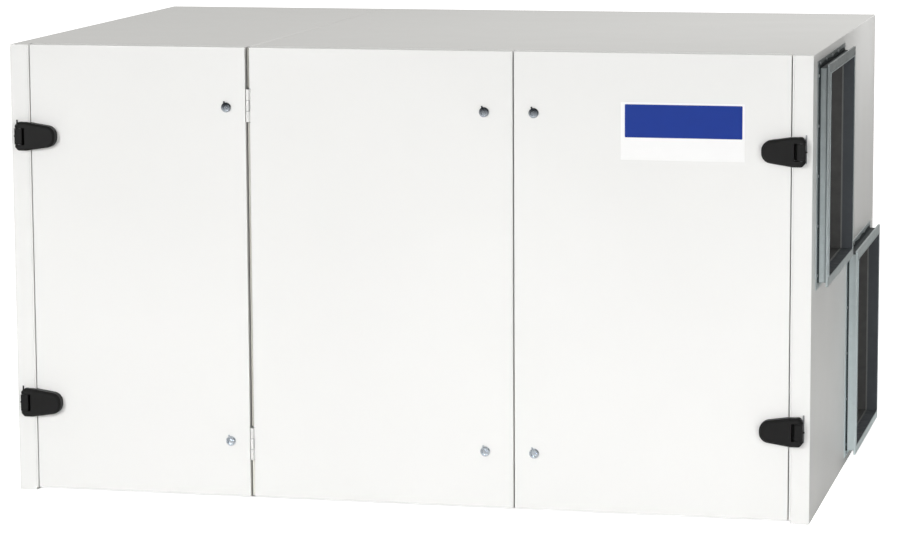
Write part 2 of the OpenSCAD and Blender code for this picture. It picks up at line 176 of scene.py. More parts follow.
def share_setting(name, description, default):
    """A share from zero to one that a user can change"""
    return bpy.props.FloatProperty(
        name=name, description=description, default=default, min=0.0, max=1.0, subtype="FACTOR")


class CameraSettings(bpy.types.PropertyGroup):
    """Where the picture is taken from"""

    place: bpy.props.FloatVectorProperty(
        name="Place", description="Position of the camera",
        size=3, default=(1.497, -6.481, 1.362), subtype="TRANSLATION", unit="LENGTH")
    turn: angle_setting("Turn", "Turn of the view to the left, seen from above", 13.24)
    tilt: angle_setting("Tilt", "Tilt of the view above the horizon", -8.46)
    roll: angle_setting("Roll", "Roll of the view about its own line", -0.31)
    focal_length: bpy.props.FloatProperty(
        name="Focal length", description="Focal length on a sensor 36 mm wide",
        default=136.4, unit="CAMERA")


class StudioSettings(bpy.types.PropertyGroup):
    """Floor, backdrop and lights"""

    floor_size: length_setting("Floor size", "Side of the square floor", 120.0)
    floor_colour: colour_setting("Floor", "Colour of the floor", (0.8, 0.8, 0.8))
    floor_glow: bpy.props.FloatProperty(
        name="Floor glow", description="Brightness that the floor shows by itself", default=1.1)
    sky: bpy.props.FloatProperty(
        name="Sky", description="Brightness of the light from all round", default=0.65)
    sky_colour: colour_setting("Sky colour", "Colour of the light from all round", (1.0, 0.992, 0.965))
    right_loss: share_setting("Right loss", "Share of that light that is lost on the right", 0.5)
    front_loss: share_setting("Front loss", "Share of that light that is lost in front", 0.85)
    key: power_setting("Key", "Power of the soft light from the left", 380.0)
    fill: power_setting("Fill", "Power of the light from the right", 88.0)
    near: power_setting("Near", "Power of the light on the foot of the doors", 3.4)
    top: power_setting("Top", "Power of the soft light above", 1.8)
    back: power_setting("Back", "Power of the light on the rear of the right end", 0.4)


class FinishSettings(bpy.types.PropertyGroup):
    """Colours of the finishes, and the shape of the sheet edges and the roof's strip"""

    paint: colour_setting("Paint", "Colour of the powder coat", (0.84, 0.84, 0.83))
    zinc: colour_setting("Zinc", "Colour of the galvanised sheet", (0.46, 0.512, 0.522))
    # Painted shade: the lining colour is dark to stand in for the shade inside the duct sleeves
    lining: colour_setting("Lining", "Colour of the lining in the duct openings", (0.088, 0.087, 0.085))
    # Painted shade: the throat colour is dark to stand in for the shade on the duct frames' inner walls
    throat: colour_setting("Throat", "Colour of the duct frames' inner walls", (0.09, 0.1, 0.112))
    seam: colour_setting("Seam", "Colour of the sealed seams in the duct openings", (0.22, 0.225, 0.22))
    # Painted shade: this colour is a dark strip standing in for the shade at the web's root and in the
    # trough on the web's top
    frame_shade: colour_setting("Seal", "Colour of the seals round the duct frames", (0.04, 0.052, 0.056))
    # Painted shadow: the next colour is the hem's shadow on the web, and the one after it the bare web
    # where that shadow fades out
    edge: colour_setting("Edge seal", "Colour of the seals behind the hems", (0.06, 0.078, 0.084))
    shadow_faded: colour_setting("Worn seal", "Colour where those seals are worn", (0.33, 0.37, 0.38))
    # Partly painted highlight: the hem is a real rim, given a lighter metal than the sheet for the light on
    # the flange's rolled edge
    hem: colour_setting("Hem", "Colour of the rims round the duct openings", (0.5, 0.56, 0.57))
    joint: colour_setting("Joint", "Colour of the strip in the joint of the two modules", (0.34, 0.33, 0.3))
    rubber: colour_setting("Rubber", "Colour of the doors' seals", (0.02, 0.02, 0.02))
    hinge: colour_setting("Hinge", "Colour of the moulded hinges", (0.009, 0.009, 0.009))
    pin: colour_setting("Pin", "Colour of the hinges' steel", (0.42, 0.43, 0.45))
    lock: colour_setting("Lock", "Colour of the plated locks", (0.62, 0.67, 0.73))
    # Painted shade on the upper side of the locks
    lock_shade: colour_setting(
        "Lock dark", "Colour of the tarnished upper side of the locks", (0.03, 0.034, 0.04))
    edge_radius: length_setting("Edge radius", "Radius of the folded sheet edges", 1.2 * MM)
    strip_height: length_setting("Strip height", "Height of the joint strip on the roof", 0.25 * MM)
    strip_width: length_setting("Strip width", "Width of the joint strip on the roof", 7 * MM)
    strip_rounding: share_setting("Strip rounding", "Rounding of that strip, in its heights", 0.8)


class LabelSettings(bpy.types.PropertyGroup):
    """Plain label plate on the right door"""

    inset: length_setting("Inset", "Distance from the door's left edge to the plate", 195.5 * MM)
    drop: length_setting("Drop", "Distance from the door's top to the plate", 88 * MM)
    width: length_setting("Width", "Width of the plate", 224 * MM)
    height: length_setting("Height", "Height of the plate", 103.5 * MM)
    thickness: length_setting("Thickness", "Thickness of the plate", 0.8 * MM)
    corner: length_setting("Corner", "Radius of the corners", 1.5 * MM)
    field_left: length_setting("Field left", "White margin left of the blue field", 7.5 * MM)
    field_right: length_setting("Field right", "White margin right of the blue field", 4.5 * MM)
    field_top: length_setting("Field top", "White margin above the blue field", 3.5 * MM)
    field_height: length_setting("Field height", "Height of the blue field", 59.5 * MM)
    field_thickness: length_setting("Field thickness", "Thickness of the blue field", 0.15 * MM)
    white: colour_setting("White", "Colour of the plate", (0.9, 0.9, 0.9))
    blue: colour_setting("Blue", "Colour of the field", (0.005, 0.034, 0.27))


class TrimSettings(bpy.types.PropertyGroup):
    """Strips in the gaps round the doors"""

    set_back: length_setting("Set back", "Distance from the doors' face to the strips", 0.3 * MM)
    depth: length_setting("Depth", "Depth that the strips reach behind the doors' face", 14 * MM)
    end_width: length_setting("End width", "Width of the strips on the end panels", 3 * MM)
    edge_width: length_setting("Edge width", "Width of the strip on the middle door's free edge", 2.3 * MM)
    softening: length_setting("Softening", "Radius of the strips' front edges", 0.4 * MM)
    joint_width: length_setting("Joint width", "Width of the strip in the joint of the modules", 3.6 * MM)
    joint_clear: length_setting("Joint clearance", "Gap between that strip and the middle door", 1.5 * MM)
    joint_gap: length_setting("Joint gap", "Gap between that strip and the slim hinges", 2 * MM)
    joint_set_back: length_setting("Joint set back", "Distance from the doors' face to that strip", 6 * MM)
    # Painted light: each stretch of the joint strip is the same grey made lighter or darker, lightest at
    # the bottom
    joint_painted_light: bpy.props.FloatVectorProperty(
        name="Joint shades", description="Shades of that strip's three stretches, from the lowest",
        size=3, default=(2.3, 1.6, 1.0))


class SeamSettings(bpy.types.PropertyGroup):
    """Seams and hems of the duct frames, and the dark strips of painted shade in their corners"""

    lip: length_setting("Lip", "Width of the frame's lip on the panel", 13 * MM)
    sheet: length_setting("Sheet", "Thickness of the frame's sheet", 1.5 * MM)
    reach: length_setting("Reach", "Reach of the seam to each side of the panel's face", 1.4 * MM)
    hem_depth: length_setting("Hem depth", "Depth of the hem on the flange's edge", 4 * MM)
    hem_gap: length_setting("Hem gap", "Gap between the hem and the seals behind it", 0.2 * MM)
    hem_width: length_setting("Hem width", "Width of the bright rim round the opening", 1.6 * MM)
    hem_rise: length_setting("Hem rise", "Height of the bright rim on the flange", 0.8 * MM)
    # Painted shade: the seals below are dark strips standing in for the shade at the web's root, behind the
    # hem and on the web's top
    root_width: length_setting("Root width", "Width of the seal between the lip and the web", 3.4 * MM)
    edge_width: length_setting("Edge width", "Width of the seal behind the hem", 2.4 * MM)
    cover: length_setting("Cover", "Thickness of the seams and seals", 0.6 * MM)
    softening: length_setting("Softening", "Width of the upper seal's cut edges", 0.15 * MM)
    teeth: bpy.props.FloatVectorProperty(
        name="Teeth", description="Heights of the upper seal on the lip, along the frame",
        size=9, default=[height * MM for height in (9, 6, 9.5, 7, 4, 8, 5, 7.5, 6)],
        unit="LENGTH", precision=4)


class StopSettings(bpy.types.PropertyGroup):
    """Caps on the stops of the end hinges"""

    radius: length_setting("Radius", "Radius of the cap", 1.6 * MM)
    reach: length_setting("Reach", "Length of the cap outside the hinge", 2 * MM)
    seat: length_setting("Seat", "Length of the cap inside the hinge", 1.5 * MM)
    rounding: share_setting("Rounding", "Rounding of the cap's end, in its radii", 0.5)


class RivetSettings(bpy.types.PropertyGroup):
    """Rivets that hold the duct frames"""

    pitch: length_setting("Pitch", "Distance between rivets", 90 * MM)
    pairs: bpy.props.IntProperty(
        name="Pairs", description="Rivets on each side of the middle one", default=2)
    radius: length_setting("Radius", "Radius of the rivet's head", 3.4 * MM)
    height: length_setting("Height", "Height of the rivet's head", 1.6 * MM)
    inset: length_setting("Inset", "Distance from the edge of the frame's lip to the rivets", 6 * MM)
    crown: share_setting("Crown", "Width of the head's top as a share of its foot", 0.72)
    rim: share_setting("Rim", "Width of the rim round the head's pit, in its radii", 0.4)
    pit: share_setting("Pit", "Depth of the head's pit, in its heights", 0.45)
    bright: colour_setting("Bright", "Colour of the rivets of the upper frames", (0.88, 0.9, 0.9))
    dull: colour_setting("Dull", "Colour of the rivets of the lower frames", (0.5, 0.53, 0.55))


# Node trees


def set_inputs(tree, node, inputs):
    """Sets or joins a node's inputs by name or number"""
    for name, value in inputs.items():
        if isinstance(value, bpy.types.NodeSocket):
            tree.links.new(value, node.inputs[name])
        else:
            node.inputs[name].default_value = value


def add_node(tree, kind, inputs=None, **settings):
    """Adds a shader node with its settings and inputs"""
    node = tree.nodes.new("ShaderNode" + kind)
    for name, value in settings.items():
        setattr(node, name, value)
    set_inputs(tree, node, inputs or {})
    return node


def split_axes(tree, vector):
    """The three coordinates of a vector"""
    return add_node(tree, "SeparateXYZ", {0: vector}).outputs


def calculate(tree, operation, first, second=0.0):
    """A Math node's result"""
    return add_node(tree, "Math", {0: first, 1: second}, operation=operation).outputs[0]


def calculate_vector(tree, operation, first, second):
    """A Vector Math node's result"""
    return add_node(tree, "VectorMath", {0: first, 1: second}, operation=operation).outputs[0]


def noise(tree, place, scale, detail=2.0):
    """A noise texture's value at a place"""
    inputs = {"Vector": place, "Scale": scale, "Detail": detail}
    return add_node(tree, "TexNoise", inputs).outputs["Fac"]


def spread(tree, value, low, high, start=0.0, stop=1.0):
    """A value between start and stop, spread from low to high"""
    inputs = {"Value": value, "From Min": start, "From Max": stop, "To Min": low, "To Max": high}
    return add_node(tree, "MapRange", inputs).outputs["Result"]


def mix_colour(tree, share, first, second):
    """A colour between two colours"""
    return add_node(tree, "Mix", {0: share, 6: first, 7: second}, data_type="RGBA").outputs[2]


def mix_value(tree, share, first, second):
    """A number between two numbers"""
    return add_node(tree, "Mix", {0: share, 2: first, 3: second}, data_type="FLOAT").outputs[0]


def bump(tree, height, distance, strength):
    """A normal bumped by a height"""
    inputs = {"Height": height, "Distance": distance, "Strength": strength}
    return add_node(tree, "Bump", inputs).outputs["Normal"]


def shade(colour, factor=1.0):
    """A colour with its brightness times a factor, and full alpha"""
    return (colour[0] * factor, colour[1] * factor, colour[2] * factor, 1.0)


def new_group(name, inputs, outputs):
    """An empty node group that takes places and scales and gives numbers, with its two end nodes"""
    tree = bpy.data.node_groups.new(name, "ShaderNodeTree")
    for label in inputs:
        kind = "NodeSocketFloat" if label.endswith("Scale") else "NodeSocketVector"
        tree.interface.new_socket(label, in_out="INPUT", socket_type=kind)
    for label in outputs:
        tree.interface.new_socket(label, in_out="OUTPUT", socket_type="NodeSocketFloat")
    return tree, tree.nodes.new("NodeGroupInput").outputs, tree.nodes.new("NodeGroupOutput")


def use_group(tree, name, inputs):
    """The outputs of a group node in a material"""
    return add_node(tree, "Group", inputs, node_tree=bpy.data.node_groups[name]).outputs


def make_coat_group():
    """Powder coat: slow changes of tone and a fine peel"""
    tree, given, result = new_group("Powder Coat", ["Place", "Tone Scale", "Peel Scale"], ["Tone", "Peel"])
    slow = noise(tree, given["Place"], given["Tone Scale"], 3.0)
    peel = noise(tree, given["Place"], given["Peel Scale"], 1.0)
    set_inputs(tree, result, {"Tone": spread(tree, slow, 0.0, 1.0, 0.3, 0.7), "Peel": peel})


def make_spangle_group():
    """Galvanised sheet: flat crystals of differing tone with fine rolling streaks"""
    tree, given, result = new_group(
        "Zinc Spangle", ["Place", "Spangle Scale", "Streak Scale"], ["Tone", "Gloss", "Height"])
    inputs = {"Vector": given["Place"], "Scale": given["Spangle Scale"]}
    crystals = add_node(tree, "TexVoronoi", inputs).outputs["Color"]
    parts = add_node(tree, "SeparateColor", {"Color": crystals}).outputs
    streaks = noise(tree, given["Place"], given["Streak Scale"], 4.0)
    tone = mix_value(tree, 0.45, parts[0], streaks)
    set_inputs(tree, result, {"Tone": tone, "Gloss": parts[1], "Height": streaks})


def make_box_group():
    """One inside a box between two corners, and zero outside it"""
    tree, given, result = new_group("Inside Box", ["Place", "Low", "High"], ["Mask"])
    above = calculate_vector(tree, "SUBTRACT", given["Place"], given["Low"])
    below = calculate_vector(tree, "SUBTRACT", given["High"], given["Place"])
    parts = split_axes(tree, calculate_vector(tree, "MINIMUM", above, below))
    least = calculate(tree, "MINIMUM", calculate(tree, "MINIMUM", parts[0], parts[1]), parts[2])
    set_inputs(tree, result, {"Mask": calculate(tree, "GREATER_THAN", least)})


def make_mould_group():
    """Moulded plastic: fine grain and faint changes of tone"""
    tree, given, result = new_group(
        "Moulded Grain", ["Place", "Grain Scale", "Tone Scale"], ["Tone", "Grain"])
    tone = noise(tree, given["Place"], given["Tone Scale"], 3.0)
    grain = noise(tree, given["Place"], given["Grain Scale"], 2.0)
    set_inputs(tree, result, {"Tone": tone, "Grain": grain})


def new_material(name):
    """A material with its node tree, and the place of a point in the object's own coordinates"""
    material = bpy.data.materials.new(name)
    material.use_nodes = True
    tree = material.node_tree
    return material, tree, add_node(tree, "TexCoord").outputs["Object"]


def set_surface(tree, inputs):
    """Sets or joins the inputs of a material's shader"""
    set_inputs(tree, tree.nodes["Principled BSDF"], inputs)


def powder_coat(name, paint, zinc, inner_low, inner_high):
    """White powder coat, with bare zinc sheet on the faces inside a box"""
    material, tree, place = new_material(name)
    coat = use_group(tree, "Powder Coat", {"Place": place, **COAT_SCALES})
    sheet = use_group(tree, "Zinc Spangle", {"Place": place, **SHEET_SCALES})
    inside = use_group(tree, "Inside Box", {"Place": place, "Low": inner_low, "High": inner_high})["Mask"]
    painted = mix_colour(tree, coat["Tone"], shade(paint, 0.985), shade(paint, 1.01))
    bare = mix_colour(tree, sheet["Tone"], shade(zinc, 0.8), shade(zinc, 1.25))
    painted_gloss = spread(tree, coat["Tone"], *COAT_ROUGHNESS)
    bare_gloss = spread(tree, sheet["Gloss"], 0.34, 0.5)
    height = mix_value(tree, inside, coat["Peel"], sheet["Height"])
    set_surface(tree, {
        "Base Color": mix_colour(tree, inside, painted, bare),
        "Roughness": mix_value(tree, inside, painted_gloss, bare_gloss),
        "Metallic": spread(tree, inside, 0.0, 0.7),
        "Normal": bump(tree, height, COAT_DEPTH, 0.25),
    })
    return material


def strip_coat(name, paint):
    """Powder coat of the roof's joint strip, paler towards the front as a painted highlight"""
    material, tree, place = new_material(name)
    coat = use_group(tree, "Powder Coat", {"Place": place, **COAT_SCALES})
    # Painted highlight: the strip is paler towards the front and plain further back
    painted_highlight = spread(tree, split_axes(tree, place)[1], 0.0, 1.0, ROOF_LOW.y, ROOF_HIGH.y * 0.3)
    set_surface(tree, {
        "Base Color": mix_colour(tree, painted_highlight, shade(paint, 1.19), shade(paint)),
        "Roughness": spread(tree, coat["Tone"], *COAT_ROUGHNESS),
        "Normal": bump(tree, coat["Peel"], COAT_DEPTH, 0.25),
    })
    return material


def throat_box():
    """Corners of a duct opening's inside, with the two ends and the two heights folded together"""
    half = OPENING_HALF + FACE_OFFSET
    low = (-BEYOND, DUCT_ALONG - half, DUCT_RISE - half)
    return low, (BEYOND, DUCT_ALONG + half, DUCT_RISE + half)


def zinc_sheet(name, zinc, throat):
    """Galvanised sheet, paler towards the floor as painted light and dark inside the duct openings as
    painted shade
    """
    material, tree, place = new_material(name)
    sheet = use_group(tree, "Zinc Spangle", {"Place": place, **SHEET_SCALES})
    parts = split_axes(tree, place)
    rise = calculate(tree, "ABSOLUTE", calculate(tree, "SUBTRACT", parts[2], UNIT_MIDDLE))
    along = calculate(tree, "ABSOLUTE", parts[1])
    folded = add_node(tree, "CombineXYZ", {0: parts[0], 1: along, 2: rise}).outputs[0]
    low, high = throat_box()
    inside = use_group(tree, "Inside Box", {"Place": folded, "Low": low, "High": high})["Mask"]
    # Painted light: the bare sheet is paler the nearer it is to the floor
    painted_floor_light = spread(tree, parts[2], 0.0, 1.0, ROOF_HIGH.z, FLOOR_LOW.z)
    pale = calculate(tree, "ADD", painted_floor_light, spread(tree, sheet["Tone"], -0.04, 0.04))
    bare = mix_colour(tree, pale, shade(zinc, 0.5), shade(zinc, 1.8))
    # Painted shade: inside the openings the sheet takes the dark throat colour and is far less metallic
    dull = mix_colour(tree, sheet["Tone"], shade(throat, 0.94), shade(throat, 1.06))
    set_surface(tree, {
        "Base Color": mix_colour(tree, inside, bare, dull),
        "Roughness": spread(tree, sheet["Gloss"], 0.36, 0.52),
        "Metallic": spread(tree, inside, 0.75, 0.2),
        "Normal": bump(tree, sheet["Height"], SHEET_DEPTH, 0.2),
    })
    return material


def plated_metal(name, colour, roughness, tone_scale):
    """Plated or drawn metal with faint handling marks"""
    material, tree, place = new_material(name)
    scales = {"Grain Scale": PLATING_GRAIN, "Tone Scale": tone_scale}
    marks = use_group(tree, "Moulded Grain", {"Place": place, **scales})
    set_surface(tree, {
        "Metallic": 1.0,
        "Base Color": mix_colour(tree, marks["Tone"], shade(colour, 0.8), shade(colour, 1.15)),
        "Roughness": spread(tree, marks["Tone"], roughness * 0.8, roughness * 1.25),
        "Normal": bump(tree, marks["Grain"], PLATING_DEPTH, 0.15),
    })
    return material


def lock_plating(name, bright, dark):
    """Plated lock with painted shade: bright on the lower locks, the upper ones darker and darker still
    towards their top
    """
    material, tree, place = new_material(name)
    scales = {"Grain Scale": PLATING_GRAIN, "Tone Scale": 160.0}
    marks = use_group(tree, "Moulded Grain", {"Place": place, **scales})
    height = split_axes(tree, place)[2]
    upper = calculate(tree, "GREATER_THAN", height, UNIT_MIDDLE)
    rise = calculate(tree, "SUBTRACT", height, mix_value(tree, upper, *LOCK_HEIGHTS))
    uneven = calculate(tree, "ADD", rise, spread(tree, marks["Tone"], -3 * MM, 3 * MM))
    # Painted shade: darker towards the top of each lock, in full on the upper locks and a fifth as much on
    # the lower ones
    share = spread(tree, uneven, 0.0, 1.0, -LOCK_RADIUS * 0.7, LOCK_RADIUS * 0.6)
    painted_top_shade = calculate(tree, "MULTIPLY", share, spread(tree, upper, 0.2, 1.0))
    # Painted shade: the upper locks are darker all over than the lower ones
    upper_locks_shaded = mix_colour(tree, upper, shade(bright), shade(bright, 0.65))
    set_surface(tree, {
        "Metallic": 0.9,
        "Base Color": mix_colour(tree, painted_top_shade, upper_locks_shaded, shade(dark)),
        "Roughness": spread(tree, marks["Tone"], 0.2, 0.34),
        "Normal": bump(tree, marks["Grain"], PLATING_DEPTH, 0.15),
    })
    return material


def moulded(name, colour, roughness, depth, variation=0.3, specular=0.5):
    """Moulded plastic, rubber or film, with the depth of its grain and the variation of its tone"""
    material, tree, place = new_material(name)
    grain = use_group(tree, "Moulded Grain", {"Place": place, **MOULD_SCALES})
    dark, pale = shade(colour, 1 - variation), shade(colour, 1 + variation)
    set_surface(tree, {
        "Base Color": mix_colour(tree, grain["Tone"], dark, pale),
        "Roughness": spread(tree, grain["Tone"], roughness - 0.05, roughness + 0.05),
        "Normal": bump(tree, grain["Grain"], depth, 0.3),
        "Specular IOR Level": specular,
    })
    return material


def fading_hem_shadow(name, frame_shade, bare, low, high):
    """Painted shadow between two heights: dark at the top and fading to the bare colour at the foot"""
    material, tree, place = new_material(name)
    grain = use_group(tree, "Moulded Grain", {"Place": place, **MOULD_SCALES})
    shadow_faded = spread(tree, split_axes(tree, place)[2], 0.0, 1.0, high, low)
    set_surface(tree, {
        "Base Color": mix_colour(tree, shadow_faded, shade(frame_shade), shade(bare)),
        "Roughness": spread(tree, grain["Tone"], 0.5, 0.6),
        "Normal": bump(tree, grain["Grain"], 0.05 * MM, 0.3),
        "Specular IOR Level": 0.3,
    })
    return material


# Modelling helpers


def select_only(piece):
    """Deselects everything else and makes a piece active"""
    bpy.ops.object.select_all(action="DESELECT")
    piece.select_set(True)
    bpy.context.view_layer.objects.active = piece


def name_piece(name):
    """Names the active object and its mesh"""
    piece = bpy.context.object
    piece.name = name
    piece.data.name = name
    return piece


def add_block(name, low, high):
    """A block between two corners, with its place in its mesh, in edit mode"""
    low, high = Vector(low), Vector(high)
    bpy.ops.mesh.primitive_cube_add(size=1.0, location=(low + high) / 2)
    piece = name_piece(name)
    piece.scale = high - low
    bpy.ops.object.transform_apply()
    bpy.ops.object.mode_set(mode="EDIT")
    return piece


def add_bar(radius, start, stop):
    """A round bar on the x axis between two places, in edit mode"""
    bpy.ops.mesh.primitive_cylinder_add(
        vertices=ROUND_STEPS, radius=radius, depth=stop - start,
        location=((start + stop) / 2, 0, 0), rotation=(0, math.pi / 2, 0))
    bpy.ops.object.transform_apply()
    bpy.ops.object.mode_set(mode="EDIT")
    return bpy.context.object


def copy_piece(pattern, place, side):
    """A copy of a pattern that points to the right, moved to a place and turned to a side"""
    select_only(pattern)
    bpy.ops.object.duplicate()
    piece = bpy.context.object
    piece.location = place
    piece.rotation_euler.z = 0 if side > 0 else math.pi
    bpy.ops.object.transform_apply()
    return piece


def select_parts(piece, kind, test):
    """Selects the faces, edges or vertices of a piece in edit mode that pass a test"""
    bpy.ops.mesh.select_mode(type=kind)
    bpy.ops.mesh.select_all(action="DESELECT")
    mesh = bmesh.from_edit_mesh(piece.data)
    for part in {"FACE": mesh.faces, "EDGE": mesh.edges, "VERT": mesh.verts}[kind]:
        part.select_set(test(part))
    bmesh.update_edit_mesh(piece.data)


def on_plane(edge, axis, place):
    """Whether an edge lies on a plane across an axis"""
    return all(abs(vertex.co[axis] - place) < PLANE_DISTANCE for vertex in edge.verts)


def round_edges(piece, radius, segments, test):
    """Bevels the edges of a piece in edit mode that pass a test"""
    select_parts(piece, "EDGE", test)
    bpy.ops.mesh.bevel(offset=radius, segments=segments, affect="EDGES")


def weigh_normals(piece):
    """Leaves edit mode, smooths the rounded edges and keeps the broad faces flat"""
    bpy.ops.object.mode_set(mode="OBJECT")
    bpy.ops.object.shade_smooth_by_angle(angle=SMOOTH_ANGLE)
    piece.modifiers.new("weighing", "WEIGHTED_NORMAL").keep_sharp = True
    bpy.ops.object.modifier_apply(modifier="weighing")


def copy_node(node, name):
    """A copy of a node in edit mode, with its loose triangles merged into whole faces"""
    piece = bpy.data.objects.new(name, node.data.copy())
    bpy.context.scene.collection.objects.link(piece)
    select_only(piece)
    bpy.ops.object.mode_set(mode="EDIT")
    bpy.ops.mesh.select_all(action="SELECT")
    bpy.ops.mesh.customdata_custom_splitnormals_clear()
    bpy.ops.mesh.remove_doubles(threshold=MERGE_DISTANCE)
    bpy.ops.mesh.dissolve_limited(angle_limit=FLAT_ANGLE)
    return piece


def put_material(piece, material):
    """Gives a piece one material"""
    piece.data.materials.clear()
    piece.data.materials.append(material)


def finish_slot(slot, material):
    """Gives the nodes of a record's slot their finish"""
    for name, used in SLOT_OF_NODE.items():
        if used == slot:
            piece = NODES[name]
            put_material(piece, material)


# Operators


class UNIT_OT_stage(bpy.types.Operator):
    """Set up the floor, the lights and the camera"""

    bl_idname = "unit.stage"
    bl_label = "Set Up Stage"

    def execute(self, context):
        studio = context.scene.unit_studio
        self.make_floor(studio)
        self.make_sky(context.scene, studio)
        for name, layout in LIGHTS.items():
            self.make_light(name + "_light", getattr(studio, name), *layout)
        self.make_camera(context.scene, context.scene.unit_camera)
        context.scene.view_settings.view_transform = "Standard"
        return {"FINISHED"}

    def make_floor(self, studio):
        """A wide pale floor at the unit's underside"""
        bpy.ops.mesh.primitive_plane_add(size=studio.floor_size, location=(0, 0, CAD_BOX[0].z))
        floor = name_piece("floor")
        bpy.ops.object.transform_apply()
        material, tree, place = new_material("floor_paint")
        tone = noise(tree, place, 0.7)
        pale = mix_colour(tree, tone, shade(studio.floor_colour, 0.98), shade(studio.floor_colour, 1.02))
        seen = add_node(tree, "LightPath").outputs["Is Camera Ray"]
        glow = calculate(tree, "MULTIPLY", seen, studio.floor_glow)
        set_surface(tree, {"Base Color": pale, "Roughness": 0.9, "Specular IOR Level": 0.0})
        set_surface(tree, {"Emission Color": pale, "Emission Strength": glow})
        put_material(floor, material)

    def make_sky(self, scene, studio):
        """White seen behind the unit, and softer light from all round"""
        world = bpy.data.worlds.new("studio")
        world.use_nodes = True
        tree = world.node_tree
        seen = add_node(tree, "LightPath").outputs["Is Camera Ray"]
        parts = split_axes(tree, add_node(tree, "TexCoord").outputs["Generated"])
        right = spread(tree, parts[0], studio.sky, studio.sky * (1 - studio.right_loss))
        front = spread(tree, parts[1], 1.0, 1 - studio.front_loss, 0.0, -1.0)
        strength = mix_value(tree, seen, calculate(tree, "MULTIPLY", right, front), 1.0)
        tint = mix_colour(tree, seen, shade(studio.sky_colour), (1.0, 1.0, 1.0, 1.0))
        set_inputs(tree, tree.nodes["Background"], {"Strength": strength, "Color": tint})
        scene.world = world

    def make_light(self, name, power, place, target, size, angle, reflected):
        """A soft light aimed at a point, with its width and height"""
        light = bpy.data.lights.new(name, "AREA")
        light.energy = power
        light.shape = "RECTANGLE"
        light.size, light.size_y = size
        light.spread = math.radians(angle)
        lamp = bpy.data.objects.new(name, light)
        bpy.context.scene.collection.objects.link(lamp)
        lamp.location = place
        lamp.visible_glossy = reflected
        lamp.visible_camera = False
        lamp.rotation_euler = (Vector(target) - Vector(place)).to_track_quat("-Z", "Y").to_euler()

    def make_camera(self, scene, view):
        """The camera at the photograph's viewing angle"""
        lens = bpy.data.cameras.new("camera")
        lens.sensor_width = SENSOR_WIDTH
        lens.lens = view.focal_length
        camera = bpy.data.objects.new("camera", lens)
        scene.collection.objects.link(camera)
        aim = Matrix.Translation(view.place)
        for angle, axis in ((view.turn, "Z"), (math.pi / 2 + view.tilt, "X"), (view.roll, "Z")):
            aim = aim @ Matrix.Rotation(angle, 4, axis)
        camera.matrix_world = aim
        scene.camera = camera


class UNIT_OT_finishes(bpy.types.Operator):
    """Give every carried-over node its finish"""

    bl_idname = "unit.finishes"
    bl_label = "Finish Nodes"

    def execute(self, context):
        finish = context.scene.unit_finish
        make_coat_group()
        make_spangle_group()
        make_box_group()
        make_mould_group()
        self.finish_sheet(finish)
        self.finish_hardware(finish)
        return {"FINISHED"}

    def finish_sheet(self, finish):
        """Panels, doors, posts, duct frames and sleeves"""
        inner_low = (-RIGHT_PANEL_LOW.x - FACE_OFFSET, ROOF_LOW.y + FACE_OFFSET, FLOOR_HIGH.z - FACE_OFFSET)
        inner_high = (RIGHT_PANEL_LOW.x + FACE_OFFSET, BACK_FACE + FACE_OFFSET, ROOF_LOW.z + FACE_OFFSET)
        casing_coat = powder_coat("casing_coat", finish.paint, finish.zinc, inner_low, inner_high)
        finish_slot("casing_paint", casing_coat)
        put_material(NODES["roof_joint_strip"], strip_coat("strip_coat", finish.paint))
        plug_low = (-BEYOND, SEAL_FACE + FACE_OFFSET, -BEYOND)
        plug_high = (BEYOND, BEYOND, BEYOND)
        door_coat = powder_coat("door_coat", finish.paint, finish.zinc, plug_low, plug_high)
        finish_slot("door_paint", door_coat)
        finish_slot("galvanised", zinc_sheet("zinc_sheet", finish.zinc, finish.throat))
        # Painted shade: the sleeves inside the openings take the dark lining colour
        finish_slot("duct_lining", moulded("duct_lining", finish.lining, roughness=0.6, depth=0.04 * MM))

    def finish_hardware(self, finish):
        """Seals, hinges, locks and pins"""
        finish_slot("gasket", moulded("seal_rubber", finish.rubber, roughness=0.75, depth=0.08 * MM))
        plastic = moulded(
            "hinge_plastic", finish.hinge, roughness=0.5, depth=0.05 * MM, variation=0.25, specular=0.16)
        finish_slot("hinge_plastic", plastic)
        finish_slot("lock_metal", lock_plating("lock_plating", finish.lock, finish.lock_shade))
        finish_slot("pin_steel", plated_metal("pin_steel", finish.pin, roughness=0.3, tone_scale=60.0))
        put_material(NODES["left_hinge_plates"], plastic)


